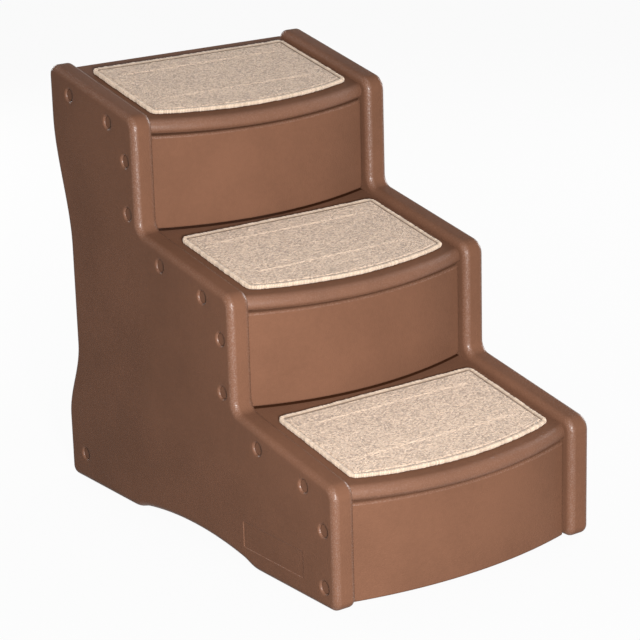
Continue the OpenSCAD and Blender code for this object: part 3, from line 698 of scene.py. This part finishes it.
PLASTIC = moulded_plastic("grained_plastic")
PLASTIC_PINS = moulded_plastic("smooth_plastic", pebble=0.35)
PLASTIC_TREADS = {step: moulded_plastic(f"tread_plastic_{step}", step=step) for step in STEPS}
PILE = carpet_pile()
YARN = thread()
BACKING = woven_backing()
HOOKS = strip_cloth("hook_tape", (22, 20, 19), (62, 58, 55), 900.0, 0.0006)
LOOPS = strip_cloth("loop_tape", (150, 132, 112), (186, 168, 146), 1300.0, 0.0004)
RUBBER = grip_rubber()


# Side panels


def panel_outline():
    """The panel from the side: the stepped front, the back with its scoop, and the arch between the feet.
    The scoop eases in and out along smooth steps, and the arch is part of a circle with eased ends."""
    corners = [(0.0, 0.0)]
    for step, i in STEPS.items():
        y, z = i * RUN, FRONT_RISE + i * RISE
        corners += [(y, z), (y + RUNS[step], z + math.tan(TILTS[step]) * RUNS[step])]
    corners.append((PANEL_BACK, 0.0))
    n = len(corners)
    *arcs, rear_foot = [round_corner(corners[k - 1], corners[k], corners[(k + 1) % n], CORNER_RADII[k], 12)
                        for k in range(n)]
    h = np.linspace(SCOOP_TOP, SCOOP_END, SCOOP_POINTS)
    scoop = SCOOP_DEPTH * smooth((SCOOP_TOP - h) / SCOOP_EASE_TOP) * smooth((h - SCOOP_END) / SCOOP_EASE_LOW)
    half = (PANEL_BACK - FRONT_FOOT - REAR_FOOT) / 2
    r = arc_radius(half, ARCH_H)
    y = np.linspace(half, -half, ARCH_POINTS)
    rise = (np.sqrt(r * r - y * y) - r + ARCH_H) * smooth((half - abs(y)) / ARCH_EASE)
    arch = np.stack([FRONT_FOOT + half + y, rise], 1)
    return evened(np.concatenate([*arcs, np.stack([PANEL_BACK - scoop, h], 1), rear_foot, arch]), PANEL_STEP)


def pin_places(kind):
    """Where the pins go through a panel, as seen from the side."""
    if kind == "tread":
        return [on_side(step, y, TREAD_PIN_ZS[step]) for step in STEPS for y in TREAD_PIN_YS[step]]
    if kind == "riser":
        return [(i * RUN + RISER_PIN_Y, FRONT_RISE + i * RISE - drop)
                for step, i in STEPS.items() for drop in RISER_PIN_DROPS[step]]
    return [(BRACE_Y, BRACE_Z)]


def sunk_field(where):
    """A shallow field near a panel's front foot: a rounded rectangle carried through its wall's profile.
    Gives its ring, its wall and floor, and how glossy the wall's points are, which is full half way down."""
    ring = evened(rectangle(FIELD_LOW, FIELD_HIGH, FIELD_CORNER_R, 5), FIELD_STEP)
    rings, wall = carried(ring, FIELD_WALL, where)
    depth = FIELD_WALL[-1, 1]
    share = FIELD_WALL[:, 1] / depth
    floor = flat_patch(rings[-1], (), FLAT_STEP, where, depth)
    return ring, [wall, floor], np.repeat(4 * share * (1 - share), len(ring))


def side_panel(side):
    """One panel: a moulding with rounded long edges, a recess round each pin, a shallow sunk field, and the
    ledges inside it. A recess rolls in over a quarter circle, goes down, and meets its floor over another."""
    sign = SIDES[side]

    def where(y, z, depth):
        return place(sign * (STAIR_W / 2 - depth), y, z)

    edge = np.concatenate([[(PANEL_EDGE_R + PANEL_MARGIN, 0.0)], quarter(PANEL_EDGE_R, 10)])
    outline, profile = panel_outline(), mirrored(edge, PANEL_T)
    places = [spot for kind in ("tread", "riser", "brace") for spot in pin_places(kind)]
    t = np.linspace(0, 2 * np.pi, RECESS_POINTS, endpoint=False)
    circle = (RECESS_R + RECESS_RIM) * np.stack([np.cos(t), np.sin(t)], 1)
    ring, field, field_gloss = sunk_field(where)
    patches = moulding(outline, profile, where, [*(circle + spot for spot in places), ring])
    wall = np.concatenate([
        (RECESS_R, 0.0) + quarter(RECESS_RIM, 8),
        (RECESS_R, RECESS_DEPTH) - quarter(RECESS_FOOT_R, 4, 90, 0),
        [(RECESS_FLOOR_R, RECESS_DEPTH), (0.0, RECESS_DEPTH)],
    ])
    patches += [turned(wall, (sign * STAIR_W / 2, y, z), -sign) for y, z in places]
    patches += field
    inner = sign * (STAIR_W / 2 - PANEL_T)
    near, far = sorted((inner + sign * LEDGE_SINK, inner - sign * LEDGE_REACH))
    top = -TREAD_DROP - SKIRT_H
    for step in STEPS:
        end = RUNS[step] / math.cos(TILTS[step]) - LEDGE_END
        patches += slab((near, LEDGE_FRONT, top - LEDGE_H), (far, end, top), LEDGE_R, partial(on_step, step))
    rubbed = rubbed_edge(outline, profile, PANEL_EDGE_R, [(-1, 0)], PANEL_T)
    recess_gloss = np.repeat(np.clip(wall[:, 1] / RECESS_RUB, 0, 1), RECESS_POINTS)
    piece = make_piece(f"moulded_panel_{side}", patches, PLASTIC, "stairs", "moulding",
                       tones=[rubbed, 0.0, 0.0, *[recess_gloss] * len(places), field_gloss])
    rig.replaces(piece, f"side_panel_{side}")


for side in SIDES:
    side_panel(side)


# Risers


def riser(step):
    """A bowed plate with rolled edges and flanges behind it, its ribs and the pins' sockets. The face is part
    of an upright cylinder. Its top runs along under the nose, and its foot along the tread below or the
    floor."""
    i, fall, tilt = STEPS[step], math.tan(FALL), TILTS[step]
    front, base = i * RUN, FRONT_RISE + i * RISE
    reach = RISER_R * math.asin(END_X / RISER_R)

    def face_y(s):
        return RISER_RECESS - RISER_BOW + RISER_R * (1 - np.cos(s / RISER_R))

    def top(s):
        return -(TREAD_DROP + NOSE_H + GROOVE_H) / math.cos(tilt) + face_y(s) * math.tan(tilt)

    def foot(s):
        if i == 0:
            return RISER_FLOOR_GAP - FRONT_RISE + 0 * s
        return (RISER_GAP - TREAD_DROP) / math.cos(FALL) + (face_y(s) + RUN) * fall - RISE

    def where(s, z, depth):
        lean = fall * depth * (np.clip((z - foot(s)) / (top(s) - foot(s)), 0, 1) if i == 0 else 1.0)
        r = RISER_R - depth
        y = front + RISER_RECESS - RISER_BOW + RISER_R - r * np.cos(s / RISER_R)
        return place(r * np.sin(s / RISER_R), y, base + z + lean)

    s = np.linspace(-reach + RISER_END_RUN, reach - RISER_END_RUN, RISER_POINTS)
    over, under = np.stack([s, top(s)], 1), np.stack([s, foot(s)], 1)[::-1]
    a, b, c, d = [(-reach, foot(-reach)), (-reach, top(-reach)), (reach, top(reach)), (reach, foot(reach))]
    left = [round_corner(*legs, RISER_CORNER_R, 6) for legs in ((under[-1], a, b), (a, b, over[0]))]
    right = [round_corner(*legs, RISER_CORNER_R, 6) for legs in ((over[-1], c, d), (c, d, under[0]))]
    outline = evened(np.concatenate([*left, over, *right, under]), RISER_STEP)
    profile = np.concatenate([
        [(RISER_EDGE_R + RISER_MARGIN, 0.0)], quarter(RISER_EDGE_R, 7), [(0.0, RISER_FLANGE / 2)],
        (0.0, RISER_FLANGE) + RISER_LIP * (1, -1), (RISER_WALL, RISER_FLANGE) - RISER_LIP[::-1],
        [(RISER_WALL, RISER_FLANGE / 3)], RISER_WALL + RISER_FILLET,
    ])
    patches = moulding(outline, profile, where, spacing=RISER_FLAT_STEP)
    for x in (-END_X / 2, 0.0, END_X / 2):
        s = RISER_R * math.asin(x / RISER_R)
        y = front + float(face_y(s))
        low = base + float(foot(s)) + RISER_WALL - RIB_SINK + RIB_LIFT * (i > 0)
        high = base + float(top(s)) - RISER_WALL + RIB_SINK
        patches += slab((x - RIB_W / 2, y + RISER_WALL - RIB_SINK, low),
                        (x + RIB_W / 2, y + RISER_FLANGE - RIB_SINK, high), RIB_R)
    barrel = [(0.0, BORE_DEPTH), (BORE_R, BORE_DEPTH), (BORE_R, BORE_LIP), (BORE_R + BORE_FLARE, 0.0),
              (SOCKET_R - SOCKET_EDGE, 0.0), (SOCKET_R, SOCKET_EDGE), (SOCKET_R, SOCKET_L - SOCKET_EDGE),
              (SOCKET_R - SOCKET_EDGE, SOCKET_L), (0.0, SOCKET_L)]
    low = base + (RISER_FLOOR_GAP - FRONT_RISE if i == 0 else float(foot(reach)) + END_FLANGE_LIFT)
    high = base + float(top(reach)) + END_FLANGE_SINK
    y = front + RISER_RECESS
    for sign in SIDES.values():
        patches += [turned(barrel, (sign * END_X, front + RISER_PIN_Y, base - drop), -sign, 32)
                    for drop in RISER_PIN_DROPS[step]]
        near, far = sorted((sign * END_X, sign * (END_X - RISER_WALL)))
        patches += slab((near, y + RISER_WALL, low), (far, y + RISER_END_FLANGE, high), END_FLANGE_R)
    rubbed = np.clip(RISER_RUB_GAIN * rubbed_edge(outline, profile, RISER_EDGE_R, [(-1, 0), (0, 1)]), 0, 1)
    piece = make_piece(f"bowed_riser_{step}", patches, PLASTIC, "stairs", "moulding", tones=[rubbed])
    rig.replaces(piece, f"riser_{step}")


for step in STEPS:
    riser(step)


# Pins


def push_pins(name, kind, sides):
    """Push pins: a flat head with a rounded rim, a shank and a barb, turned round the pin's own line."""
    tip = PIN_HEAD_T + PANEL_T - RECESS_DEPTH + PIN_REACH
    profile = np.concatenate([
        PIN_DISH, (PIN_HEAD_R, 0.0) + PIN_RIM,
        [(PIN_HEAD_R, PIN_HEAD_T - PIN_CHAMFER), (PIN_HEAD_R - PIN_CHAMFER, PIN_HEAD_T),
         (PIN_R + PIN_FILLET, PIN_HEAD_T), (PIN_R, PIN_HEAD_T + PIN_FILLET)],
        (PIN_R, tip) + PIN_BARB, [(0.0, tip)],
    ])
    out = STAIR_W / 2 - RECESS_DEPTH + PIN_HEAD_T
    patches = [turned(profile, (SIDES[side] * out, y, z), -SIDES[side], 36)
               for side in sides for y, z in pin_places(kind)]
    return make_piece(name, patches, PLASTIC_PINS, "stairs", "pins", crease=50.0)


for side in SIDES:
    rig.replaces(push_pins(f"push_pins_tread_{side}", "tread", [side]), f"tread_pins_{side}")
    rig.replaces(push_pins(f"push_pins_riser_{side}", "riser", [side]), f"riser_pins_{side}")
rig.replaces(push_pins("push_pins_brace", "brace", SIDES), "brace_pins")


# Mats


def mat_outline(step, inset, spacing):
    """A mat's outline in its step's frame, drawn in by an inset: a bowed front, straight sides and back."""
    h, r, back = MAT_W / 2 - inset, max(1.0, MAT_CORNER_R - inset), MAT_BACKS[step] - inset

    def front(x):
        return MAT_FRONT - MAT_BOW + MAT_R - np.sqrt((MAT_R - inset) ** 2 - x * x)

    bow = np.linspace(-h + 1.5 * r, h - 1.5 * r, MAT_POINTS)
    bow = np.stack([bow, front(bow)], 1)
    left, right = (-h, float(front(h))), (h, float(front(h)))
    rear_left, rear_right = (-h, back), (h, back)
    return evened(np.concatenate([
        round_corner(bow[0], left, rear_left, r, 8), round_corner(left, rear_left, rear_right, r, 8),
        round_corner(rear_left, rear_right, right, r, 8), round_corner(rear_right, right, bow[-1], r, 8),
        bow[::-1],
    ]), spacing)


def over_strips(step, x, y):
    """How near each place of a mat lies to a sewn strip (a smooth step) and to its long edges (a bell)."""
    ends = smooth((STRIP_L / 2 + STRIP_RUN_OUT - abs(x)) / STRIP_FADE)
    away = np.minimum(abs(y - STRIP_FRONT), abs(y - MAT_BACKS[step] + STRIP_INSET)) - STRIP_W / 2
    bell = np.exp(-((away + STRIP_EDGE_IN) / STRIP_EDGE_W) ** 2)
    return ends * smooth(0.5 - away / STRIP_SIDE_FADE), ends * bell


def mat_swell(step, x, y, seed):
    """How far the laid mat rises off its plane, in millimetres: over each sewn strip and a little more at its
    long edges, in a curl at the corners, and in slow waves."""
    on_strip, strip_edge = over_strips(step, x, y)
    across = np.maximum(0, abs(x) - (MAT_W / 2 - MAT_CURL))
    along = np.maximum(0, abs(y - MAT_MIDDLE) - (MAT_HALF - MAT_CURL))
    curl = smooth(np.hypot(across / MAT_CURL, along / MAT_CURL) - 0.35)
    waves = SWELL_REST + SWELL_WAVE * np.sin(x / WAVE_X + seed) * np.sin(y / WAVE_Y + 2 * seed)
    return waves + SWELL_STRIP * on_strip + SWELL_EDGE * strip_edge + curl


def carpet(step, seed):
    """The pile: rows of loops over the mat's swell. Each loop is a low dome with a random height and tone,
    and the rim dips under the stitches. The tone also holds painted shade between the loops and along the
    rim, and a painted highlight along the sewn strips' long edges."""
    rng = np.random.default_rng(seed)
    edge = mat_outline(step, CARPET_INSET, CARPET_STEP)
    h = edge[:, 0].max()
    in_front = edge[:, 1] < MAT_MIDDLE
    near, far = (chain[np.argsort(chain[:, 0])] for chain in (edge[in_front], edge[~in_front]))
    cols, rows = PILE_GRID_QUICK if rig.quick() else PILE_GRID
    x = h * np.linspace(-1, 1, cols)
    low, high = np.interp(x, *near.T), np.interp(x, *far.T)
    y = low + np.linspace(0, 1, rows)[:, None] * (high - low)
    x = np.broadcast_to(x, y.shape)

    wander = 0.5 * np.sin(x / 23.0 + seed) + 0.35 * np.sin(x / 7.7 + 3 * seed)
    line = (y + wander) / LOOP_Y
    row = np.floor(line).astype(int) % LOOP_DRAWS
    in_row = (x + LOOP_START) / LOOP_X + rng.random(LOOP_DRAWS)[row]
    loop = np.floor(in_row).astype(int) % LOOP_DRAWS
    tall = rng.random((LOOP_DRAWS, LOOP_DRAWS))[row, loop]
    tone = rng.random((LOOP_DRAWS, LOOP_DRAWS))[row, loop]
    dome = np.prod([np.sqrt(np.clip(1 - (1.75 * (t % 1 - 0.5)) ** 2, 0, 1)) for t in (line, in_row)], axis=0)
    rim = np.minimum.reduce([h - abs(x), y - low, high - y])
    loops = PILE_TOP - LOOP_SINK + (LOOP_LOW + LOOP_MORE * tall) * dome
    z = loops + mat_swell(step, x, y, seed) - RIM_DIP * (1 - smooth(rim / RIM_W))
    z[0] = z[-1] = z[:, 0] = z[:, -1] = PILE_Z + PILE_SKIRT
    top = surface(on_step(step, x, y, z))
    flat = np.stack([x, y], -1)
    border = np.concatenate([flat[0], flat[1:, -1], flat[-1, -2::-1], flat[-2:0:-1, 0]])
    skirt = surface(on_step(step, *border.T, np.array([[PILE_Z + PILE_SKIRT], [PILE_Z]])), wrap_cols=True)
    under = flat_patch(border, (), PILE_FLAT_STEP, partial(on_step, step), PILE_Z)
    # painted shade: darker between the loops and along the rim under the stitches; each loop's random tone is its own
    shade = (0.25 + 0.6 * tone) * (0.45 + 0.55 * dome) * (0.35 + 0.65 * smooth((rim - 0.7) / 2.2))
    # painted highlight: lighter along the long edges of the sewn strips
    shade = shade * (1 + 0.5 * over_strips(step, x, y)[1])
    piece = make_piece(f"carpet_{step}", [top, skirt, under], PILE, f"mat_{step}", "carpet", crease=180.0,
                       tones=[shade.ravel(), 0.3, 0.3])
    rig.replaces(piece, f"mat_pile_{step}")
    return piece


def overlock(step, seed):
    """Yarn overcast round the mat's edge. The section runs from the stitches' inner end over the edge to
    underneath, and |sin| ridges along the outline, a little aslant, are the yarn's turns. Their tone is
    painted shade, darker between the turns and towards the stitches' inner end, over the yarn's own uneven tone."""
    across, up = STITCH_SECTION.T
    around = np.roll(STITCH_SECTION, -1, axis=0) - np.roll(STITCH_SECTION, 1, axis=0)
    lift = np.stack([around[:, 1], -around[:, 0]]) / np.linalg.norm(around, axis=1)
    path = mat_outline(step, 0.0, STITCH_PITCH / (3 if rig.quick() else 6))
    steps = np.linalg.norm(np.roll(path, -1, axis=0) - path, axis=1)
    length = np.cumsum(steps)[:, None] - steps[0]
    turns = round(steps.sum() / STITCH_PITCH)
    phase = length / steps.sum() * turns + np.linspace(0, STITCH_SLANT, len(across))
    rng = np.random.default_rng(seed + YARN_SEED)
    uneven = rng.random(turns)[np.floor(phase).astype(int) % turns] - 0.5
    ridge = abs(np.sin(np.pi * phase)) ** 0.6
    out = STITCH_H * (ridge - 1) + 0.6 * uneven * ridge
    wobble = 0.3 * np.sin(length / 19.0 + seed) + 0.2 * np.sin(length / 6.3 + seed)
    inset = across + lift[0] * out - wobble * smooth(1 - across / STITCH_W)
    x, y = (path[:, [k]] - outward(path)[:, [k]] * inset for k in (0, 1))
    z = up + lift[1] * out + mat_swell(step, x, y, seed) * smooth((up + 9.9) / 3)
    # painted shade: darker between the yarn's turns and towards the stitches' inner end; the uneven term is the yarn's
    # own
    tones = (0.1 + 0.9 * ridge) * (0.85 + 0.3 * uneven) * smooth((STITCH_W + 0.1 - across) / 2.6)
    yarn = surface(on_step(step, x, y, z), wrap_rows=True, wrap_cols=True)
    piece = make_piece(f"overlock_{step}", [yarn], YARN, f"mat_{step}", "yarn", crease=180.0,
                       tones=[np.clip(tones, 0, 1).ravel()])
    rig.replaces(piece, f"mat_binding_{step}")
    return piece


def backing(step):
    """The backing cloth under the pile, as a thin closed sheet."""
    thick = PILE_Z - BACKING_Z

    def where(x, y, depth):
        return on_step(step, x, y, PILE_Z - BACKING_GAP - depth * (1 - BACKING_GAP / thick))

    patches = moulding(mat_outline(step, BACKING_INSET, CLOTH_STEP), mirrored(BACKING_EDGE, thick), where)
    piece = make_piece(f"backing_cloth_{step}", patches, BACKING, f"mat_{step}", "backing")
    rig.replaces(piece, f"mat_backing_{step}")
    return piece


def flat_size(step, inset):
    """A mat layer's width and length, in metres, and its area, in square metres, by the shoelace rule."""
    outline = mat_outline(step, inset, SHEET_STEP)
    x, y = outline.T
    area = abs(float(x @ np.roll(y, -1) - y @ np.roll(x, -1))) / 2 * MM * MM
    return {"flat": tuple((outline.max(0) - outline.min(0)) * MM), "area": area}


for step, seed in SEEDS.items():
    pile, yarn, cloth = carpet(step, seed), overlock(step, seed), backing(step)
    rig.sheet(pile, **flat_size(step, CARPET_INSET), held="laid", rests_on=[cloth.name], with_pieces=[yarn])
    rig.sheet(cloth, **flat_size(step, BACKING_INSET), held="laid", rests_on=[f"tread_{step}"])


# The solids whose shape is right keep it and get their finish

for name, material in {
    **{f"tread_{step}": PLASTIC_TREADS[step] for step in STEPS},
    **{f"hook_strips_{step}": HOOKS for step in STEPS},
    **{f"mat_loop_strips_{step}": LOOPS for step in STEPS},
    **{f"floor_grips_{side}": RUBBER for side in SIDES},
    "rear_brace": PLASTIC,
}.items():
    node = frame["nodes"][name]
    if not node.material_slots:
        node.data.materials.append(material)
    for held in node.material_slots:
        held.material = material


# Floor, world, lamps and camera


def seen(nodes):
    """1 for rays from the camera, in reflections and through glass, 0 for the rest."""
    camera, glossy, through = (nodes.add("ShaderNodeLightPath", {}, {}, f"Is {kind} Ray")
                               for kind in ("Camera", "Glossy", "Transmission"))
    return nodes.math("MAXIMUM", nodes.math("MAXIMUM", camera, glossy), through)


def set_floor():
    """A plain white floor. The camera sees mostly its own white, and a little of the light on it."""
    mesh = bpy.data.meshes.new("floor")
    h = FLOOR_HALF
    mesh.from_pydata([(-h, -h, 0), (h, -h, 0), (h, h, 0), (-h, h, 0)], [], [(0, 1, 2, 3)])
    floor = bpy.data.objects.new("floor", mesh)
    bpy.context.scene.collection.objects.link(floor)
    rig.stage(floor)
    material = bpy.data.materials.new("floor_white")
    mesh.materials.append(material)
    nodes = Nodes(material)
    base = nodes.tree.nodes["Principled BSDF"]
    nodes.set(base, {"Base Color": (FLOOR_GREY, FLOOR_GREY, FLOOR_GREY, 1), "Roughness": 0.9})
    lit, glow = Value(nodes, base.outputs[0]), nodes.add("ShaderNodeEmission", {}, {})
    both = nodes.add("ShaderNodeMixShader", {}, {0: seen(nodes) * FLOOR_GLOW_SHARE, 1: lit, 2: glow})
    nodes.set(nodes.tree.nodes["Material Output"], {"Surface": both})


def set_world():
    """White where it is seen, and a plain even fill on the object."""
    world = bpy.data.worlds.new("studio")
    bpy.context.scene.world = world
    nodes = Nodes(world)
    strength = nodes.add("ShaderNodeMapRange", {}, {"Value": seen(nodes), "To Min": FILL_LIGHT}, "Result")
    nodes.set(nodes.tree.nodes["Background"], {"Color": (1, 1, 1, 1), "Strength": strength})


def lamp(name, azimuth, elevation, distance, size, power):
    """A square soft lamp that looks at the stairs. Azimuth 0 is in front, and positive turns to the left."""
    a, e = math.radians(azimuth), math.radians(elevation)
    way = Vector((-math.sin(a) * math.cos(e), -math.cos(a) * math.cos(e), math.sin(e)))
    light = bpy.data.lights.new(name, "AREA")
    light.shape, light.size, light.energy = "SQUARE", size, power
    made = bpy.data.objects.new(name, light)
    made.location = Vector(LAMP_TARGET) + way * distance
    made.rotation_euler = way.to_track_quat("Z", "Y").to_euler()
    bpy.context.scene.collection.objects.link(made)


def set_camera():
    """The photograph's camera: yaw to the right of +Y, pitch downwards, and a slight roll."""
    forward = np.array([math.sin(YAW) * math.cos(PITCH), math.cos(YAW) * math.cos(PITCH), -math.sin(PITCH)])
    level = np.array([math.cos(YAW), -math.sin(YAW), 0.0])
    above = np.cross(level, forward)
    right = level * math.cos(ROLL) + above * math.sin(ROLL)
    up = -level * math.sin(ROLL) + above * math.cos(ROLL)
    data = bpy.data.cameras.new("camera")
    data.sensor_width = SENSOR_MM
    data.lens = FOCAL_PX / FRAME_PX * SENSOR_MM
    camera = bpy.data.objects.new("camera", data)
    turn = Matrix(np.stack([right, up, -forward], 1).tolist()).to_4x4()
    stand = Vector((EYE[0], EYE[1] + PANEL_LOW[1], EYE[2] + PANEL_LOW[2]))
    camera.matrix_world = Matrix.Translation(stand) @ turn
    bpy.context.scene.collection.objects.link(camera)
    bpy.context.scene.camera = camera


set_floor()
set_world()
for name, light in LAMPS.items():
    lamp(name, *light)
set_camera()
bpy.context.scene.view_settings.view_transform = "Standard"

seen_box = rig.bounds()
with open("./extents.json", "w") as out:
    json.dump({"cad": [list(map(float, corner)) for corner in cad_box],
               "visual": [list(map(float, corner)) for corner in seen_box]}, out)
